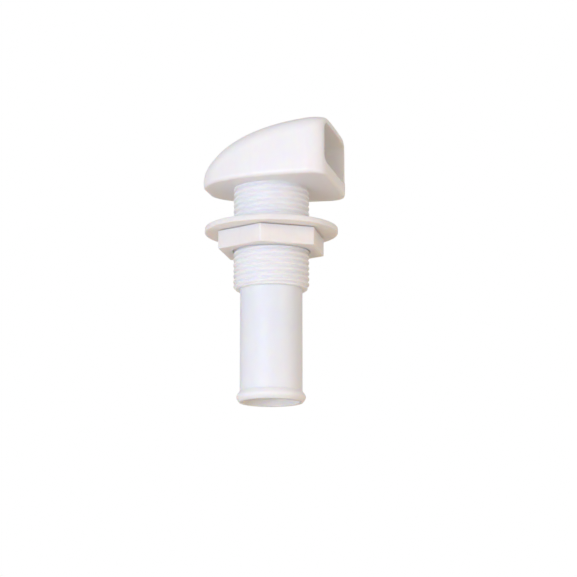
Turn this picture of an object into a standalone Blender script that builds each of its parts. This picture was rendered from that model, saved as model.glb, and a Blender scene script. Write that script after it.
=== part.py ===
"""Thru-hull vent fitting: a hooded head moulded in one with its threaded shank and hose tail,
a loose backing washer, and a hex nut that screws along the shank.

The origin is on the shank's axis, on the flat underside of the head, where it seats on the hull.
+Z points up through the head, +X points out of the hood's mouth. Lengths are in metres.
"""

import math

import bmesh
import bpy
from mathutils import Matrix, Vector

MM = 0.001

# Head: a low hood with a square mouth at one end and a rounded nose at the other.
HEAD_WIDTH = 58.5 * MM
HEAD_HEIGHT = 28.0 * MM
MOUTH_REACH = 30.6 * MM
NOSE_REACH = 30.9 * MM
NOSE_TIP_HEIGHT = 1.4 * MM
NOSE_FULLNESS = 2.8
PROFILE_FULLNESS = 1.85
TOP_CROWN = 0.6 * MM
TOP_CORNER = 7.0 * MM
LOWER_CORNER = 2.0 * MM
MOUTH_SIDE_CORNER = 8.5 * MM
MOUTH_RIM_CORNER = 1.6 * MM

# Hollow of the hood, open at the mouth and joined to the bore through its floor.
SIDE_WALL = 5.5 * MM
ROOF_WALL = 3.0 * MM
FLOOR_WALL = 6.0 * MM
BACK_WALL = 9.0 * MM
HOLLOW_CORNER = 3.5 * MM

# Shank with a coarse right-hand thread, from just under the head to the shoulder.
THREAD_MAJOR = 34.9 * MM
THREAD_PITCH = 2.54 * MM
THREAD_DEPTH = 0.4724 * THREAD_PITCH
THREAD_CREST = 0.2362 * THREAD_PITCH
FLANK_ANGLE = math.radians(30.0)
THREAD_TOP_MARGIN = 0.6 * MM
THREAD_END_MARGIN = 0.5 * MM
SHANK_LENGTH = 47.3 * MM

# Hose tail with one bead at its open lower end.
TAIL_DIAMETER = 28.6 * MM
TAIL_LENGTH = 52.1 * MM
TAIL_WALL = 2.3 * MM
BEAD_RISE = 1.5 * MM
BEAD_HEIGHT = 5.2 * MM
RIM_WALL = 1.2 * MM
FLARE_HEIGHT = 3.2 * MM

# Backing washer.
WASHER_DIAMETER = 61.4 * MM
WASHER_THICKNESS = 2.6 * MM
WASHER_EDGE = 0.4 * MM
WASHER_CLEARANCE = 0.35 * MM
HULL_GAP = 18.4 * MM

# Hex nut.
NUT_WALL = 4.8 * MM
NUT_HEIGHT = 8.4 * MM
NUT_EDGE = 0.4 * MM
NUT_TURN = math.radians(1.5)
FACE_GAP = 0.3 * MM
THREAD_CLEARANCE = 0.3 * MM
FLANK_CLEARANCE = 0.2 * MM

# How finely the curved faces are cut.
ROUND_STEPS = 48
THREAD_STEPS = 24
CORNER_STEPS = 4
NOSE_STATIONS = 15
BEAD_STEPS = 6
OVERCUT = 2.0 * MM
THREAD_BURY = 0.157 * THREAD_PITCH
FADED_THREAD = 0.05 * MM
MOST_CORNER = 0.45
MOST_GROOVE = 0.48

core_radius = THREAD_MAJOR / 2 - THREAD_DEPTH
nut_corner_radius = (THREAD_MAJOR + 2 * NUT_WALL) / math.sqrt(3)
tail_end = -(SHANK_LENGTH + TAIL_LENGTH)
washer_top = -HULL_GAP
washer_bottom = washer_top - WASHER_THICKNESS
nut_top = washer_bottom - FACE_GAP
nut_bottom = nut_top - NUT_HEIGHT


def clear_scene():
    for old in list(bpy.data.objects):
        bpy.data.objects.remove(old, do_unlink=True)


def plastic(name, colour, roughness):
    material = bpy.data.materials.new(name)
    material.use_nodes = True
    shader = material.node_tree.nodes["Principled BSDF"]
    shader.inputs["Base Color"].default_value = (*colour, 1.0)
    shader.inputs["Roughness"].default_value = roughness
    shader.inputs["Metallic"].default_value = 0.0
    return material


def add_object(name, bm, material=None):
    """Turns a bmesh into an object with its faces pointing outwards."""
    bmesh.ops.remove_doubles(bm, verts=bm.verts, dist=0.000001)
    bmesh.ops.recalc_face_normals(bm, faces=bm.faces)
    mesh = bpy.data.meshes.new(name)
    bm.to_mesh(mesh)
    bm.free()
    new = bpy.data.objects.new(name, mesh)
    bpy.context.scene.collection.objects.link(new)
    if material:
        mesh.materials.append(material)
    return new


def as_tool(tool):
    """Marks an object as a tool that only shapes another one."""
    tool.hide_render = True
    tool.display_type = "WIRE"
    return tool


def combine(target, tool, operation):
    modifier = target.modifiers.new(tool.name, "BOOLEAN")
    modifier.operation = operation
    modifier.solver = "EXACT"
    modifier.object = as_tool(tool)


def turned(name, outline, closed=False, material=None):
    """Spins an outline of (radius, height) points about the Z axis.

    A closed outline makes a ring. An open one is capped flat at its two ends.
    """
    bm = bmesh.new()
    points = [bm.verts.new((radius, 0.0, height)) for radius, height in outline]
    pairs = list(zip(points, points[1:]))
    if closed:
        pairs.append((points[-1], points[0]))
    edges = [bm.edges.new(pair) for pair in pairs]
    bmesh.ops.spin(
        bm,
        geom=points + edges,
        cent=(0, 0, 0),
        axis=(0, 0, 1),
        angle=math.tau,
        steps=ROUND_STEPS,
        use_merge=True,
    )
    bmesh.ops.remove_doubles(bm, verts=bm.verts, dist=0.000001)
    rims = [edge for edge in bm.edges if edge.is_boundary]
    if rims:
        bmesh.ops.holes_fill(bm, edges=rims, sides=0)
    return add_object(name, bm, material)


def lofted(name, sections):
    """Joins sections of equal point counts into one closed solid."""
    bm = bmesh.new()
    rings = [[bm.verts.new(point) for point in section] for section in sections]
    for before, after in zip(rings, rings[1:]):
        for side in range(len(before)):
            other = (side + 1) % len(before)
            bm.faces.new((before[side], before[other], after[other], after[side]))
    bm.faces.new(rings[0])
    bm.faces.new(reversed(rings[-1]))
    return add_object(name, bm)


def nose_share(x):
    """0 at the mouth and 1 at the tip of the nose."""
    return min(1.0, (MOUTH_REACH - x) / (MOUTH_REACH + NOSE_REACH))


def hood_half_width(x):
    """Half the head's width at x: nearly straight sides that round into the nose."""
    return HEAD_WIDTH / 2 * (1 - nose_share(x) ** NOSE_FULLNESS) ** (1 / NOSE_FULLNESS)


def hood_height(x):
    """Height of the head's centre line at x: level at the mouth, falling to the nose in one sweep."""
    rise = (1 - nose_share(x) ** PROFILE_FULLNESS) ** (1 / PROFILE_FULLNESS)
    return NOSE_TIP_HEIGHT + (HEAD_HEIGHT - NOSE_TIP_HEIGHT) * rise


def round_over(distance, radius):
    """How far a rounded edge has drawn back at this distance from the edge's plane."""
    inside = max(0.0, radius - distance)
    return radius - math.sqrt(max(0.0, radius**2 - inside**2))


def section_points(x, half_width, low, high, crown, top_corner, low_corner):
    """One cross-section of the hood or of its hollow: a box with round corners and a crowned top."""
    corner_limit = MOST_CORNER * min(half_width, high - low)
    top_corner = min(top_corner, corner_limit)
    low_corner = min(low_corner, corner_limit)
    half = []
    for step in range(CORNER_STEPS + 1):
        angle = math.radians(-90 + 90 * step / CORNER_STEPS)
        half.append(
            (
                half_width - low_corner + low_corner * math.cos(angle),
                low + low_corner + low_corner * math.sin(angle),
            )
        )
    shoulder = high - crown
    for step in range(CORNER_STEPS + 1):
        angle = math.radians(90 * step / CORNER_STEPS)
        half.append(
            (
                half_width - top_corner + top_corner * math.cos(angle),
                shoulder - top_corner + top_corner * math.sin(angle),
            )
        )
    flat = half_width - top_corner
    for step in (1, 2):
        across = flat * (1 - step / 3)
        half.append((across, high - crown * (across / flat) ** 2))
    points = [Vector((x, -y, z)) for y, z in half]
    points.append(Vector((x, 0.0, high)))
    points.extend(Vector((x, y, z)) for y, z in reversed(half))
    return points


def crown_at(half_width):
    return TOP_CROWN * (2 * half_width / HEAD_WIDTH) ** 2


def make_hood():
    length = MOUTH_REACH + NOSE_REACH
    sections = []
    for step in range(1, NOSE_STATIONS + 1):
        angle = math.pi / 2 * (1 - step / NOSE_STATIONS)
        x = MOUTH_REACH - length * math.sin(angle)
        if x < MOUTH_REACH - MOUTH_SIDE_CORNER:
            sections.append(x)
    for step in range(CORNER_STEPS + 1):
        angle = math.pi / 2 * step / CORNER_STEPS
        sections.append(MOUTH_REACH - MOUTH_SIDE_CORNER * (1 - math.sin(angle)))
    loft = []
    for x in sections:
        to_mouth = MOUTH_REACH - x
        half_width = hood_half_width(x) - round_over(to_mouth, MOUTH_SIDE_CORNER)
        rim = round_over(to_mouth, MOUTH_RIM_CORNER)
        foot = round_over(x + NOSE_REACH, NOSE_TIP_HEIGHT) + rim
        loft.append(
            section_points(
                x,
                half_width,
                foot,
                hood_height(x) - rim,
                crown_at(half_width),
                TOP_CORNER,
                LOWER_CORNER,
            )
        )
    return lofted("hood_blank", loft)


def make_hollow():
    """The space inside the hood, from beyond the mouth back to the wall behind the bore."""
    back = -NOSE_REACH + BACK_WALL
    depth = MOUTH_REACH - back
    loft = []
    for step in range(NOSE_STATIONS // 2 + 1):
        angle = math.pi / 2 * (1 - step / (NOSE_STATIONS // 2))
        x = MOUTH_REACH - depth * math.sin(angle)
        half_width = hood_half_width(x) - SIDE_WALL - round_over(x - back, HOLLOW_CORNER)
        roof = hood_height(x) - ROOF_WALL - round_over(x - back, HOLLOW_CORNER / 2)
        crown = crown_at(half_width)
        loft.append(section_points(x, half_width, FLOOR_WALL, roof, crown, HOLLOW_CORNER, HOLLOW_CORNER))
    beyond = Vector((OVERCUT, 0.0, 0.0))
    loft.append([point + beyond for point in loft[-1]])
    return lofted("hood_hollow", loft)


def thread_section(corners, turn, height):
    """The thread's (radius, offset) corners, placed at this turn and height."""
    return [Vector((r * math.cos(turn), r * math.sin(turn), height + offset)) for r, offset in corners]


def thread_ridge(name, top, bottom, crest_radius, root_radius, crest_width, bury):
    """A right-hand ridge wound down the shank, sinking into it over a quarter turn at each end."""
    slope = math.tan(FLANK_ANGLE)
    inner = root_radius - bury
    rise = (top - bottom) - (crest_width + 2 * (crest_radius - inner) * slope)
    steps = max(THREAD_STEPS, int(rise / THREAD_PITCH * THREAD_STEPS))
    fade_steps = THREAD_STEPS // 4
    middle_top = top - (crest_width / 2 + (crest_radius - inner) * slope)
    rings = []
    for step in range(steps + 1):
        turn = -math.tau * step / THREAD_STEPS
        height = middle_top - THREAD_PITCH * step / THREAD_STEPS
        shown = min(1.0, step / fade_steps, (steps - step) / fade_steps)
        outer = inner + FADED_THREAD + (crest_radius - inner - FADED_THREAD) * shown
        outer_half = crest_width / 2 + (crest_radius - outer) * slope * shown
        inner_half = outer_half + (outer - inner) * slope
        corners = ((inner, inner_half), (outer, outer_half), (outer, -outer_half), (inner, -inner_half))
        rings.append(thread_section(corners, turn, height))
    return lofted(name, rings)


def make_fitting(material):
    """The head, shank and tail, which are one moulding with one passage through them."""
    fitting = make_hood()
    fitting.name = "hull_fitting"
    fitting.data.materials.append(material)

    tail_radius = TAIL_DIAMETER / 2
    outline = [
        (core_radius, FLOOR_WALL / 2),
        (core_radius, -SHANK_LENGTH),
        (tail_radius, -SHANK_LENGTH),
        (tail_radius, tail_end + BEAD_HEIGHT),
    ]
    for step in range(1, BEAD_STEPS):
        share = step / BEAD_STEPS
        bulge = BEAD_RISE * math.sin(math.pi * share)
        outline.append((tail_radius + bulge, tail_end + BEAD_HEIGHT * (1 - share)))
    outline.append((tail_radius, tail_end))
    combine(fitting, turned("shank_and_tail", outline), "UNION")

    ridge = thread_ridge(
        "shank_thread",
        -THREAD_TOP_MARGIN,
        -SHANK_LENGTH + THREAD_END_MARGIN,
        THREAD_MAJOR / 2,
        core_radius,
        THREAD_CREST,
        THREAD_BURY,
    )
    combine(fitting, ridge, "UNION")
    combine(fitting, make_hollow(), "DIFFERENCE")

    bore_radius = tail_radius - TAIL_WALL
    mouth_radius = tail_radius - RIM_WALL
    passage = [
        (bore_radius, FLOOR_WALL + OVERCUT),
        (bore_radius, tail_end + FLARE_HEIGHT),
        (mouth_radius, tail_end),
        (mouth_radius, tail_end - OVERCUT),
    ]
    combine(fitting, turned("passage", passage), "DIFFERENCE")
    return fitting


def make_washer(material):
    hole = THREAD_MAJOR / 2 + WASHER_CLEARANCE
    rim = WASHER_DIAMETER / 2
    outline = [
        (rim - WASHER_EDGE, washer_top),
        (rim, washer_top - WASHER_EDGE),
        (rim, washer_bottom + WASHER_EDGE),
        (rim - WASHER_EDGE, washer_bottom),
        (hole, washer_bottom),
        (hole, washer_top),
    ]
    return turned("backing_washer", outline, closed=True, material=material)


def make_nut(material):
    bm = bmesh.new()
    bmesh.ops.create_cone(
        bm,
        cap_ends=True,
        segments=6,
        radius1=nut_corner_radius,
        radius2=nut_corner_radius,
        depth=NUT_HEIGHT,
        matrix=Matrix.Translation((0, 0, (nut_top + nut_bottom) / 2)) @ Matrix.Rotation(NUT_TURN, 4, "Z"),
    )
    bmesh.ops.bevel(
        bm,
        geom=list(bm.edges),
        offset=NUT_EDGE,
        segments=1,
        profile=0.5,
        affect="EDGES",
        material=-1,
    )
    nut = add_object("hex_nut", bm, material)

    clear_core = core_radius + THREAD_CLEARANCE
    bore = [(clear_core, nut_top + OVERCUT), (clear_core, nut_bottom - OVERCUT)]
    combine(nut, turned("nut_bore", bore), "DIFFERENCE")

    polygon_fit = 1 / math.cos(math.pi / THREAD_STEPS)
    ridge_height = THREAD_CREST + 2 * (THREAD_DEPTH + THREAD_BURY) * math.tan(FLANK_ANGLE)
    start = -THREAD_TOP_MARGIN
    groove = thread_groove(start, ridge_height, clear_core, polygon_fit)
    combine(nut, groove, "DIFFERENCE")
    return nut


def thread_groove(start, ridge_height, clear_core, polygon_fit):
    """The shank's ridge with clearance all round, over the nut's height, as a tool to cut the nut."""
    slope = math.tan(FLANK_ANGLE)
    middle_top = start - ridge_height / 2
    crest_radius = (THREAD_MAJOR / 2 + THREAD_CLEARANCE) * polygon_fit
    inner = clear_core - THREAD_BURY
    crest_half = THREAD_CREST / 2 + FLANK_CLEARANCE
    foot_half = min(crest_half + (crest_radius - inner) * slope, MOST_GROOVE * THREAD_PITCH)
    corners = (
        (inner, foot_half),
        (crest_radius, crest_half),
        (crest_radius, -crest_half),
        (inner, -foot_half),
    )
    first_step = math.ceil((middle_top - nut_top - THREAD_PITCH) / THREAD_PITCH * THREAD_STEPS)
    last_step = math.floor((middle_top - nut_bottom + THREAD_PITCH) / THREAD_PITCH * THREAD_STEPS)
    rings = []
    for step in range(first_step, last_step + 1):
        turn = -math.tau * step / THREAD_STEPS
        height = middle_top - THREAD_PITCH * step / THREAD_STEPS
        rings.append(thread_section(corners, turn, height))
    return lofted("nut_thread", rings)


clear_scene()
white_nylon = plastic("moulded_white_nylon", (0.86, 0.86, 0.88), 0.42)
washer_nylon = plastic("washer_white_nylon", (0.84, 0.83, 0.82), 0.48)
nut_nylon = plastic("nut_white_nylon", (0.85, 0.84, 0.84), 0.45)
pieces = [make_fitting(white_nylon), make_washer(washer_nylon), make_nut(nut_nylon)]
for piece in pieces:
    piece.data.shade_smooth()
    piece.data.set_sharp_from_angle(angle=math.radians(30))
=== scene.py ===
"""Looks for the thru-hull vent fitting: a moulded nylon body, its backing washer and its hex nut.

The origin is on the shank's axis, on the underside of the head. +X points out of the hood's mouth and
+Z up through the head. Lengths are in metres.
"""

import math

import bmesh
import bpy
from mathutils import Matrix, Vector


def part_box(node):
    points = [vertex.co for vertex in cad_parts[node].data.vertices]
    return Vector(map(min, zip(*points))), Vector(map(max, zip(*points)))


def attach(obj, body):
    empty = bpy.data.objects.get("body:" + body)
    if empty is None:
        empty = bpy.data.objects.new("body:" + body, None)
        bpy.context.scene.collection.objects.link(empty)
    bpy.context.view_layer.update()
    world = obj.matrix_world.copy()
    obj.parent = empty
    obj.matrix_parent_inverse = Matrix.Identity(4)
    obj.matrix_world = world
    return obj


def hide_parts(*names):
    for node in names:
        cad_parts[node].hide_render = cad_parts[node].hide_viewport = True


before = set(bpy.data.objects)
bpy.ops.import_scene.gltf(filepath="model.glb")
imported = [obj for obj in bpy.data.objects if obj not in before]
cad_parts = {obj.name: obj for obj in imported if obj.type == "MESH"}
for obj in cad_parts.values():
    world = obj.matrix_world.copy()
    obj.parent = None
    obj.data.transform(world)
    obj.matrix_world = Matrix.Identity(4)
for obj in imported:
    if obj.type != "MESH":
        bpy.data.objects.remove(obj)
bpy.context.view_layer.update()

MM = 0.001


# Camera
# ------
# A long lens about a metre away and below the fitting, turned a little toward the hood's mouth.
# It looks up at the head's underside, so that the plain backdrop fills the whole frame.
CAMERA_TURN = math.radians(12.3)
CAMERA_AWAY = 967.0 * MM
CAMERA_HEIGHT = -238.6 * MM
AIM_HEIGHT = -46.6 * MM
AIM_ASIDE = 7.9 * MM
LENS_MM = 134.0

camera_right = Vector((math.cos(CAMERA_TURN), math.sin(CAMERA_TURN), 0.0))
camera_back = Vector((math.sin(CAMERA_TURN), -math.cos(CAMERA_TURN), 0.0))
aim = AIM_ASIDE * camera_right + Vector((0.0, 0.0, AIM_HEIGHT))
camera_place = AIM_ASIDE * camera_right + CAMERA_AWAY * camera_back + Vector((0.0, 0.0, CAMERA_HEIGHT))

camera_data = bpy.data.cameras.new("studio_camera")
camera_data.lens = LENS_MM
camera_data.sensor_width = 36.0
camera_data.clip_start = 0.01
camera_data.clip_end = 50.0
camera = bpy.data.objects.new("studio_camera", camera_data)
camera.location = camera_place
camera.rotation_euler = (aim - camera_place).to_track_quat("-Z", "Y").to_euler()
bpy.context.scene.collection.objects.link(camera)
bpy.context.scene.camera = camera


# Hull fitting
# ------------
# One injection moulding of white nylon 6/6: a low hood with a square mouth, a threaded shank that goes
# through the hull and a hose tail. Cores pulled from the mouth and from the tail leave it hollow.
fitting_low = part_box("hull_fitting")[0]

MOUTH_REACH = 30.6 * MM
NOSE_REACH = 30.9 * MM
HEAD_WIDTH = 58.5 * MM
HEAD_HEIGHT = 28.0 * MM
NOSE_FULLNESS = 2.8
NOSE_TIP_HEIGHT = 1.4 * MM
PROFILE_FULLNESS = 1.85
TOP_CROWN = 0.6 * MM
TOP_CORNER = 7.0 * MM
LOWER_CORNER = 2.0 * MM
MOUTH_SIDE_CORNER = 8.5 * MM
MOUTH_RIM_CORNER = 1.6 * MM

SIDE_WALL = 5.5 * MM
ROOF_WALL = 3.0 * MM
FLOOR_WALL = 6.0 * MM
BACK_WALL = 9.0 * MM
HOLLOW_CORNER = 3.5 * MM
MOUTH_LIP = 0.6 * MM
LIP_CLEAR = 0.03 * MM

THREAD_MAJOR = 34.9 * MM
THREAD_DEPTH = 1.2 * MM
THREAD_PITCH = 2.54 * MM
THREAD_CREST = 0.6 * MM
THREAD_FLANK = math.tan(math.radians(30.0))
THREAD_START = -1.82 * MM
SHANK_LENGTH = 47.3 * MM

TAIL_DIAMETER = 28.6 * MM
TAIL_WALL = 2.3 * MM
BEAD_RISE = 1.5 * MM
BEAD_HEIGHT = 5.2 * MM
RIM_WALL = 1.2 * MM
FLARE_HEIGHT = 3.2 * MM
ROOT_FILLET = 0.5 * MM

ROUND_STEPS = 96
THREAD_ROWS = 12
CORNER_STEPS = 10
FLAT_STEPS = 6
NOSE_STATIONS = 44

core_radius = THREAD_MAJOR / 2 - THREAD_DEPTH
tail_radius = TAIL_DIAMETER / 2
tail_end = fitting_low.z
hood_length = MOUTH_REACH + NOSE_REACH


def nose_share(x):
    """0 at the mouth and 1 at the tip of the nose."""
    return min(1.0, max(0.0, (MOUTH_REACH - x) / hood_length))


def half_width(x):
    """Half the hood's width: nearly straight sides that round into a blunt nose."""
    return HEAD_WIDTH / 2 * (1 - nose_share(x) ** NOSE_FULLNESS) ** (1 / NOSE_FULLNESS)


def roof_height(x):
    """Height of the hood along its middle: level at the mouth and falling to the nose in one sweep."""
    rise = (1 - nose_share(x) ** PROFILE_FULLNESS) ** (1 / PROFILE_FULLNESS)
    return NOSE_TIP_HEIGHT + (HEAD_HEIGHT - NOSE_TIP_HEIGHT) * rise


def round_over(distance, radius):
    """How far a rounded edge has drawn back at this distance from the edge's plane."""
    inside = max(0.0, radius - distance)
    return radius - math.sqrt(max(0.0, radius**2 - inside**2))


def hood_section(half, low, high, top_corner, low_corner):
    """One cross-section as (y, z) points, all the way round from the middle of its floor."""
    top_corner = min(top_corner, 0.55 * (high - low), 0.9 * half)
    low_corner = min(low_corner, 0.4 * (high - low), 0.9 * half)
    crown = TOP_CROWN * (2 * half / HEAD_WIDTH) ** 2
    side = []
    for step in range(FLAT_STEPS):
        side.append(((half - low_corner) * step / FLAT_STEPS, low))
    for step in range(CORNER_STEPS + 1):
        angle = math.pi / 2 * step / CORNER_STEPS
        side.append(
            (half - low_corner * (1 - math.sin(angle)), low + low_corner * (1 - math.cos(angle)))
        )
    shoulder = high - crown
    for step in range(1, FLAT_STEPS):
        share = step / FLAT_STEPS
        side.append((half, (low + low_corner) * (1 - share) + (shoulder - top_corner) * share))
    for step in range(CORNER_STEPS + 1):
        angle = math.pi / 2 * step / CORNER_STEPS
        side.append(
            (half - top_corner * (1 - math.cos(angle)), shoulder - top_corner * (1 - math.sin(angle)))
        )
    flat = half - top_corner
    for step in range(1, 2 * FLAT_STEPS):
        across = flat * (1 - step / (2 * FLAT_STEPS))
        side.append((across, high - crown * (across / flat) ** 2))
    side.append((0.0, high))
    return side + [(-y, z) for y, z in reversed(side[1:-1])]


def grow_hood(stations):
    """Extrudes one ring of edges from station to station, and closes it at both ends."""
    bm = bmesh.new()
    count = len(stations[0][1])
    bmesh.ops.create_circle(bm, segments=count, radius=1.0)
    order = bm.verts.layers.int.new("place_round_section")
    for number, vert in enumerate(sorted(bm.verts, key=lambda v: math.atan2(v.co.x, -v.co.y) % math.tau)):
        vert[order] = number
    ring_verts = list(bm.verts)
    ring_edges = list(bm.edges)
    first_edges = list(bm.edges)
    for number, (x, points) in enumerate(stations):
        if number:
            grown = bmesh.ops.extrude_edge_only(bm, edges=ring_edges)["geom"]
            ring_verts = [item for item in grown if isinstance(item, bmesh.types.BMVert)]
            ring_edges = [item for item in grown if isinstance(item, bmesh.types.BMEdge)]
            ring_edges = [edge for edge in ring_edges if edge.is_boundary]
        for vert in ring_verts:
            y, z = points[vert[order]]
            vert.co = (x, y, z)
    bmesh.ops.contextual_create(bm, geom=first_edges)
    bmesh.ops.contextual_create(bm, geom=ring_edges)
    return bm


def make_piece(name, bm, material=None):
    """Turns a closed bmesh into an object whose faces point outwards."""
    bmesh.ops.remove_doubles(bm, verts=bm.verts, dist=0.000001)
    bmesh.ops.recalc_face_normals(bm, faces=bm.faces)
    if bm.calc_volume(signed=True) < 0:
        bmesh.ops.reverse_faces(bm, faces=bm.faces)
    mesh = bpy.data.meshes.new(name)
    bm.to_mesh(mesh)
    bm.free()
    piece = bpy.data.objects.new(name, mesh)
    bpy.context.scene.collection.objects.link(piece)
    if material:
        mesh.materials.append(material)
    return piece


def volume_of(mesh):
    bm = bmesh.new()
    bm.from_mesh(mesh)
    volume = bm.calc_volume(signed=True)
    bm.free()
    return volume


def combine(piece, tool, operation):
    """Joins a tool to a piece, or cuts it away, and keeps only the finished piece.

    It stops if the change in volume isn't one that this tool could make.
    """
    before = volume_of(piece.data)
    modifier = piece.modifiers.new("combine", "BOOLEAN")
    modifier.operation = operation
    modifier.solver = "EXACT"
    modifier.object = tool
    graph = bpy.context.evaluated_depsgraph_get()
    made = bpy.data.meshes.new_from_object(piece.evaluated_get(graph))
    made.name = piece.name
    piece.modifiers.clear()
    piece.data = made
    change = volume_of(made) - before
    if operation == "DIFFERENCE":
        change = -change
    if not 0.0 < change < volume_of(tool.data):
        raise ValueError(f"{tool.name} didn't combine with {piece.name}")
    bpy.data.objects.remove(tool, do_unlink=True)


def shade(piece, sharp_above):
    """Smooth shading that keeps real corners, with each flat face shaded flat up to its rounded edge."""
    piece.data.shade_smooth()
    piece.data.set_sharp_from_angle(angle=math.radians(sharp_above))
    weighted = piece.modifiers.new("flat_faces_first", "WEIGHTED_NORMAL")
    weighted.keep_sharp = True
    weighted.weight = 60


def spun(outline, steps, pitch=0.0):
    """Spins (radius, height) points round the Z axis, climbing one pitch a turn if there is one."""
    bm = bmesh.new()
    points = [bm.verts.new((radius, 0.0, height)) for radius, height in outline]
    edges = [bm.edges.new(pair) for pair in zip(points, points[1:])]
    bmesh.ops.spin(
        bm,
        geom=points + edges,
        cent=(0.0, 0.0, 0.0),
        axis=(0.0, 0.0, 1.0),
        dvec=(0.0, 0.0, pitch / steps),
        angle=math.tau,
        steps=steps,
        use_merge=not pitch,
    )
    bmesh.ops.remove_doubles(bm, verts=bm.verts, dist=0.000001)
    return bm


def close_ends(bm):
    bmesh.ops.holes_fill(bm, edges=[edge for edge in bm.edges if edge.is_boundary], sides=0)


def threaded_rod(top, bottom, crest_radius, root_radius, crest_width):
    """A rod with the fitting's right-hand thread, cut square at both ends. Its edges are eased."""
    rows_above = math.ceil((top - THREAD_START) / THREAD_PITCH) + 1
    rows_below = math.ceil((THREAD_START - bottom) / THREAD_PITCH) + 2
    flank = (crest_radius - root_radius) * THREAD_FLANK
    outline = []
    for row in range((rows_above + rows_below) * THREAD_ROWS + 1):
        turns_down = row / THREAD_ROWS - rows_above
        from_crest = abs(turns_down - round(turns_down)) * THREAD_PITCH
        share = min(1.0, max(0.0, (crest_width / 2 + flank - from_crest) / flank))
        share = share * share * (3 - 2 * share)
        radius = root_radius + (crest_radius - root_radius) * share
        outline.append((radius, THREAD_START - turns_down * THREAD_PITCH))
    bm = spun(outline, ROUND_STEPS, THREAD_PITCH)
    for height, outer in ((top, False), (bottom, True)):
        bmesh.ops.bisect_plane(
            bm,
            geom=bm.verts[:] + bm.edges[:] + bm.faces[:],
            dist=0.0000001,
            plane_co=(0.0, 0.0, height),
            plane_no=(0.0, 0.0, -1.0 if outer else 1.0),
            clear_outer=True,
        )
    return bm


def limit_radius(bm, limit):
    """Draws in every point that stands outside the radius that limit gives for its height."""
    for vert in bm.verts:
        radius = math.hypot(vert.co.x, vert.co.y)
        most = limit(vert.co.z)
        if radius > most:
            vert.co.x *= most / radius
            vert.co.y *= most / radius


def linear(code):
    """An sRGB hex colour as linear RGBA."""
    channels = [int(code[place : place + 2], 16) / 255 for place in (1, 3, 5)]
    return [c / 12.92 if c <= 0.04045 else ((c + 0.055) / 1.055) ** 2.4 for c in channels] + [1.0]


def add_node(tree, kind, links=None, **settings):
    """Adds a node with its settings, and sets or links its inputs."""
    node = tree.nodes.new(kind)
    for name, value in settings.items():
        setattr(node, name, value)
    for name, value in (links or {}).items():
        if isinstance(value, bpy.types.NodeSocket):
            tree.links.new(value, node.inputs[name])
        else:
            node.inputs[name].default_value = value
    return node


def moulded_nylon(name, body, streak, roughness, flow, translucent):
    """Injection-moulded white nylon 6/6, straight from a spark-eroded steel mould.

    It is a satin plastic that lets a little light in: edges glow softly and shadows are never hard. Melt
    that flowed along the piece leaves long faint streaks, and the mould leaves a fine even grain.
    """
    material = bpy.data.materials.new(name)
    material.use_nodes = True
    tree = material.node_tree
    shader = tree.nodes["Principled BSDF"]
    shader.inputs["IOR"].default_value = 1.53
    shader.inputs["Subsurface Weight"].default_value = translucent
    shader.inputs["Subsurface Radius"].default_value = (1.0, 0.7, 0.45)
    shader.inputs["Subsurface Scale"].default_value = 5.0 * MM
    place = add_node(tree, "ShaderNodeTexCoord").outputs["Object"]

    # Flow streaks are about 3 mm wide and several times as long, the way the melt ran.
    along = add_node(tree, "ShaderNodeMapping", {"Vector": place, "Scale": flow})
    streaks = add_node(
        tree,
        "ShaderNodeTexNoise",
        {"Vector": along.outputs["Vector"], "Scale": 1 / (3.0 * MM), "Detail": 3.0, "Roughness": 0.55},
    )
    colour = add_node(
        tree,
        "ShaderNodeMix",
        {0: streaks.outputs["Fac"], 6: linear(body), 7: linear(streak)},
        data_type="RGBA",
    )
    tree.links.new(colour.outputs[2], shader.inputs["Base Color"])

    # Cooling leaves patches, about 9 mm across, that are a little duller than the rest.
    patches = add_node(
        tree, "ShaderNodeTexNoise", {"Vector": place, "Scale": 1 / (9.0 * MM), "Detail": 2.0}
    )
    dullness = add_node(
        tree,
        "ShaderNodeMapRange",
        {"Value": patches.outputs["Fac"], "To Min": roughness - 0.05, "To Max": roughness + 0.06},
    )
    tree.links.new(dullness.outputs["Result"], shader.inputs["Roughness"])

    # The mould's real grain is about 0.05 mm, too fine to show, so it is drawn at 0.4 mm.
    grain = add_node(
        tree, "ShaderNodeTexNoise", {"Vector": place, "Scale": 1 / (0.4 * MM), "Detail": 2.0}
    )
    # Shrinkage leaves a shallow waviness about 6 mm across.
    waves = add_node(
        tree, "ShaderNodeTexNoise", {"Vector": place, "Scale": 1 / (6.0 * MM), "Detail": 1.0}
    )
    wavy = add_node(
        tree,
        "ShaderNodeBump",
        {"Height": waves.outputs["Fac"], "Strength": 0.35, "Distance": 0.12 * MM},
    )
    rough = add_node(
        tree,
        "ShaderNodeBump",
        {
            "Height": grain.outputs["Fac"],
            "Strength": 0.3,
            "Distance": 0.015 * MM,
            "Normal": wavy.outputs["Normal"],
        },
    )
    tree.links.new(rough.outputs["Normal"], shader.inputs["Normal"])
    return material


fitting_nylon = moulded_nylon(
    "fitting_moulded_nylon",
    body="#f3f4f6",
    streak="#eeeff2",
    roughness=0.42,
    flow=(1.0, 1.0, 0.2),
    translucent=0.9,
)

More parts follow.
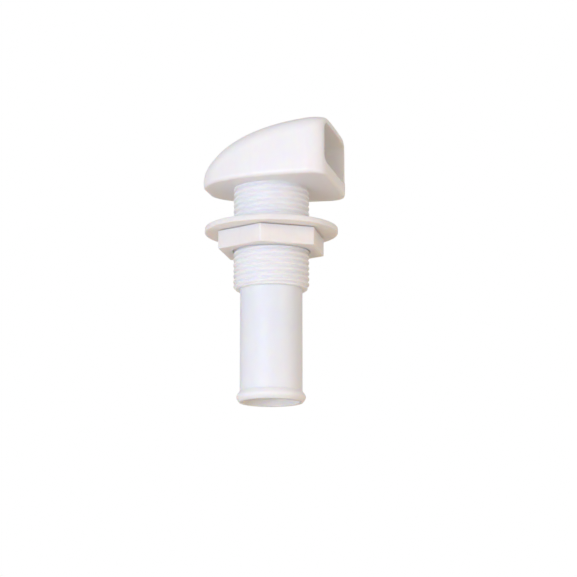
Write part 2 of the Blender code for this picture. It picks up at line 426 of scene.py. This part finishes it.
stations = []
for step in range(1, NOSE_STATIONS + 1):
    x = MOUTH_REACH - hood_length * math.sin(math.pi / 2 * (1 - step / NOSE_STATIONS))
    if x < MOUTH_REACH - MOUTH_SIDE_CORNER - 0.5 * MM:
        stations.append(x)
for step in range(CORNER_STEPS + 1):
    turn = math.pi / 2 * step / CORNER_STEPS
    x = MOUTH_REACH - MOUTH_SIDE_CORNER * (1 - math.sin(turn))
    if x < MOUTH_REACH - MOUTH_RIM_CORNER:
        stations.append(x)
for step in range(CORNER_STEPS + 1):
    turn = math.pi / 2 * step / CORNER_STEPS
    stations.append(MOUTH_REACH - MOUTH_RIM_CORNER * (1 - math.sin(turn)))

outer_sections = []
for x in stations:
    to_mouth = MOUTH_REACH - x
    rim = round_over(to_mouth, MOUTH_RIM_CORNER)
    foot = round_over(x + NOSE_REACH, NOSE_TIP_HEIGHT) + rim
    half = half_width(x) - round_over(to_mouth, MOUTH_SIDE_CORNER)
    section = hood_section(half, foot, roof_height(x) - rim, TOP_CORNER, LOWER_CORNER)
    outer_sections.append((x, section))

hull_fitting = make_piece("nylon_hull_fitting", grow_hood(outer_sections), fitting_nylon)

# The core's edge at the mouth is eased all the way round. It follows the mouth's rounded sides, and its
# first ring stands clear of the mouth.
hollow_back = BACK_WALL - NOSE_REACH
hollow_length = MOUTH_REACH - MOUTH_LIP - hollow_back
hollow_steps = 20
hollow_sections = []
for step in range(-1, CORNER_STEPS + 1):
    turn = math.pi / 2 * max(0, step) / CORNER_STEPS
    x = MOUTH_REACH + LIP_CLEAR - MOUTH_LIP * (1 - math.cos(turn))
    spread = MOUTH_LIP * (1 - math.sin(turn))
    half = half_width(x) - SIDE_WALL + spread
    roof = roof_height(x) - ROOF_WALL + spread
    if step < 0:
        x += 2.0 * MM
    section = hood_section(half, FLOOR_WALL - spread, roof, HOLLOW_CORNER, HOLLOW_CORNER)
    hollow_sections.append((x, section))
for step in range(1, hollow_steps):
    x = MOUTH_REACH - MOUTH_LIP - hollow_length * math.sin(math.pi / 2 * step / hollow_steps)
    back = round_over(x - hollow_back, HOLLOW_CORNER)
    half = half_width(x) - SIDE_WALL - back
    roof = roof_height(x) - ROOF_WALL - back / 2
    section = hood_section(half, FLOOR_WALL, roof, HOLLOW_CORNER, HOLLOW_CORNER)
    hollow_sections.append((x, section))
hollow = grow_hood(hollow_sections)
for vert in hollow.verts:
    if vert.co.x > MOUTH_REACH - 2 * MOUTH_LIP:
        vert.co.x -= round_over(HEAD_WIDTH / 2 - abs(vert.co.y), MOUTH_SIDE_CORNER)
combine(hull_fitting, make_piece("hollow", hollow), "DIFFERENCE")

shank = threaded_rod(FLOOR_WALL / 2, -SHANK_LENGTH, THREAD_MAJOR / 2, core_radius, THREAD_CREST)
limit_radius(shank, lambda z: core_radius + max(0.0, z + SHANK_LENGTH))
close_ends(shank)
combine(hull_fitting, make_piece("shank", shank), "UNION")

tail_outline = [(tail_radius + ROOT_FILLET, 1.0 * MM - SHANK_LENGTH)]
for step in range(5):
    turn = math.pi / 2 * step / 4
    radius = tail_radius + ROOT_FILLET * (1 - math.sin(turn))
    tail_outline.append((radius, -SHANK_LENGTH - ROOT_FILLET * (1 - math.cos(turn))))
tail_rows = 12
bead_top = tail_end + BEAD_HEIGHT
for row in range(1, tail_rows):
    share = row / tail_rows
    tail_outline.append((tail_radius, -(SHANK_LENGTH + ROOT_FILLET) * (1 - share) + bead_top * share))
bead_rows = 20
for row in range(bead_rows + 1):
    share = row / bead_rows
    bulge = math.sin(math.pi * share**1.1) ** 1.15
    radius = tail_radius + 0.25 * MM * share + (BEAD_RISE - 0.1 * MM) * bulge
    tail_outline.append((radius, bead_top - BEAD_HEIGHT * share))
tail = spun(tail_outline, ROUND_STEPS)
close_ends(tail)
combine(hull_fitting, make_piece("hose_tail", tail), "UNION")

bore_radius = tail_radius - TAIL_WALL
mouth_radius = tail_radius - RIM_WALL
passage_outline = [(bore_radius, FLOOR_WALL + 2.0 * MM), (bore_radius, tail_end + FLARE_HEIGHT)]
flare_rows = 6
for row in range(1, flare_rows + 1):
    share = row / flare_rows
    eased = share * share * (3 - 2 * share)
    passage_outline.append(
        (bore_radius + (mouth_radius - bore_radius) * eased, tail_end + FLARE_HEIGHT * (1 - share))
    )
passage_outline.append((mouth_radius + 0.3 * MM, tail_end - 0.3 * MM))
passage = spun(passage_outline, ROUND_STEPS)
close_ends(passage)
combine(hull_fitting, make_piece("passage", passage), "DIFFERENCE")
shade(hull_fitting, 32)
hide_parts("hull_fitting")
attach(hull_fitting, "fitting")


# Backing washer
# --------------
# A flat ring of the same nylon that spreads the nut's load over the inside of the hull. It is moulded
# flat and drops loosely over the thread, so its hole is plain.
washer_low, washer_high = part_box("backing_washer")

WASHER_EDGE = 0.5 * MM
WASHER_CLEARANCE = 0.35 * MM
EDGE_STEPS = 5

washer_nylon = moulded_nylon(
    "washer_moulded_nylon",
    body="#f2f0ef",
    streak="#ebe8e7",
    roughness=0.46,
    flow=(0.6, 0.6, 1.0),
    translucent=0.9,
)

washer_rim = washer_high.x
washer_hole = THREAD_MAJOR / 2 + WASHER_CLEARANCE
washer_outline = []
for corner_radius, corner_height, from_angle in (
    (washer_rim - WASHER_EDGE, washer_high.z - WASHER_EDGE, 90),
    (washer_rim - WASHER_EDGE, washer_low.z + WASHER_EDGE, 0),
    (washer_hole + WASHER_EDGE / 2, washer_low.z + WASHER_EDGE / 2, -90),
    (washer_hole + WASHER_EDGE / 2, washer_high.z - WASHER_EDGE / 2, -180),
):
    size = WASHER_EDGE if corner_radius > washer_hole + WASHER_EDGE else WASHER_EDGE / 2
    for step in range(EDGE_STEPS + 1):
        angle = math.radians(from_angle - 90 * step / EDGE_STEPS)
        radius = corner_radius + size * math.cos(angle)
        washer_outline.append((radius, corner_height + size * math.sin(angle)))
washer_outline.append(washer_outline[0])
washer = make_piece("nylon_backing_washer", spun(washer_outline, 2 * ROUND_STEPS), washer_nylon)
shade(washer, 40)
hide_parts("backing_washer")
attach(washer, "washer")


# Hex nut
# -------
# A nylon hex nut with an internal thread, moulded over a core that unscrews. Its corners are crisp and
# the thread starts from a small countersink at each face.
nut_low, nut_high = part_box("hex_nut")

NUT_ACROSS_FLATS = 44.5 * MM
NUT_TURN = math.radians(1.5)
NUT_EDGE = 0.35 * MM
NUT_COUNTERSINK = 0.5 * MM
THREAD_CLEARANCE = 0.3 * MM
FLANK_CLEARANCE = 0.2 * MM

nut_nylon = moulded_nylon(
    "nut_moulded_nylon",
    body="#f1efee",
    streak="#eae7e5",
    roughness=0.44,
    flow=(1.0, 1.0, 0.5),
    translucent=0.9,
)

bm = bmesh.new()
bmesh.ops.create_cone(
    bm,
    cap_ends=True,
    segments=6,
    radius1=NUT_ACROSS_FLATS / math.sqrt(3),
    radius2=NUT_ACROSS_FLATS / math.sqrt(3),
    depth=nut_high.z - nut_low.z,
    matrix=Matrix.Translation((0.0, 0.0, (nut_high.z + nut_low.z) / 2)) @ Matrix.Rotation(NUT_TURN, 4, "Z"),
)
bmesh.ops.bevel(
    bm, geom=list(bm.edges), offset=NUT_EDGE, segments=4, profile=0.5, affect="EDGES", material=-1
)
nut = make_piece("nylon_hex_nut", bm, nut_nylon)

nut_core = core_radius + THREAD_CLEARANCE
nut_crest = THREAD_MAJOR / 2 + THREAD_CLEARANCE
tap = threaded_rod(
    nut_high.z + 1.0 * MM,
    nut_low.z - 1.0 * MM,
    nut_crest,
    nut_core,
    THREAD_CREST + 2 * FLANK_CLEARANCE,
)
for vert in tap.verts:
    from_face = min(nut_high.z - vert.co.z, vert.co.z - nut_low.z)
    least = nut_crest + NUT_COUNTERSINK - max(0.0, from_face)
    radius = math.hypot(vert.co.x, vert.co.y)
    if radius < least:
        vert.co.x *= least / radius
        vert.co.y *= least / radius
close_ends(tap)
combine(nut, make_piece("tap", tap), "DIFFERENCE")
shade(nut, 32)
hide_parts("hex_nut")
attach(nut, "nut")


# Studio
# ------
# A plain pale table well below the fitting, a white backdrop, a cool softbox at the front left, and two
# broad weak ones at the far left and the right. The table throws warm light up at faces that look down.
FLOOR_DROP = 420.0 * MM
FLOOR_SIZE = 3000.0 * MM

floor_bm = bmesh.new()
bmesh.ops.create_grid(floor_bm, x_segments=1, y_segments=1, size=FLOOR_SIZE / 2)
bmesh.ops.translate(floor_bm, vec=(0.0, 0.0, -FLOOR_DROP), verts=floor_bm.verts)
floor_mesh = bpy.data.meshes.new("studio_floor")
floor_bm.to_mesh(floor_mesh)
floor_bm.free()
floor = bpy.data.objects.new("studio_floor", floor_mesh)
bpy.context.scene.collection.objects.link(floor)

# Matt painted board: it scatters light evenly, and its paint varies a little from place to place.
board = bpy.data.materials.new("painted_board")
board.use_nodes = True
board_shader = board.node_tree.nodes["Principled BSDF"]
board_shader.inputs["Roughness"].default_value = 0.9
board_noise = add_node(
    board.node_tree,
    "ShaderNodeTexNoise",
    {
        "Vector": add_node(board.node_tree, "ShaderNodeTexCoord").outputs["Object"],
        "Scale": 1 / (60.0 * MM),
        "Detail": 3.0,
    },
)
board_colour = add_node(
    board.node_tree,
    "ShaderNodeMix",
    {0: board_noise.outputs["Fac"], 6: linear("#eee3d4"), 7: linear("#eadfce")},
    data_type="RGBA",
)
board.node_tree.links.new(board_colour.outputs[2], board_shader.inputs["Base Color"])
floor_mesh.materials.append(board)

world = bpy.data.worlds.new("white_backdrop")
bpy.context.scene.world = world
world.use_nodes = True
world_tree = world.node_tree
world_tree.nodes.clear()
seen = add_node(world_tree, "ShaderNodeBackground", {"Color": (1.0, 1.0, 1.0, 1.0), "Strength": 1.0})
room = add_node(world_tree, "ShaderNodeBackground", {"Color": linear("#fff6ee"), "Strength": 0.53})
path = add_node(world_tree, "ShaderNodeLightPath")
both = add_node(
    world_tree,
    "ShaderNodeMixShader",
    {0: path.outputs["Is Camera Ray"], 1: room.outputs["Background"], 2: seen.outputs["Background"]},
)
add_node(world_tree, "ShaderNodeOutputWorld", {"Surface": both.outputs["Shader"]})


def softbox(name, turn, height, away, size, power, colour):
    """A square softbox that faces the fitting. Its turn is counted from the camera, in degrees."""
    lamp = bpy.data.lights.new(name, "AREA")
    lamp.size = size
    lamp.energy = power
    lamp.color = linear(colour)[:3]
    stand = bpy.data.objects.new(name, lamp)
    bearing = CAMERA_TURN + math.radians(turn)
    stand.location = (away * math.sin(bearing), -away * math.cos(bearing), height)
    centre = Vector((0.0, 0.0, AIM_HEIGHT))
    stand.rotation_euler = (centre - stand.location).to_track_quat("-Z", "Y").to_euler()
    bpy.context.scene.collection.objects.link(stand)


softbox("key_softbox", -30.0, -0.30, 1.25, 0.5, 10.9, "#dfe9ff")
softbox("left_softbox", -85.0, -0.55, 1.2, 0.9, 2.6, "#f4f2ff")
softbox("fill_softbox", 48.0, 0.05, 1.4, 0.9, 4.3, "#fff0ea")

bpy.context.scene.view_settings.view_transform = "Standard"
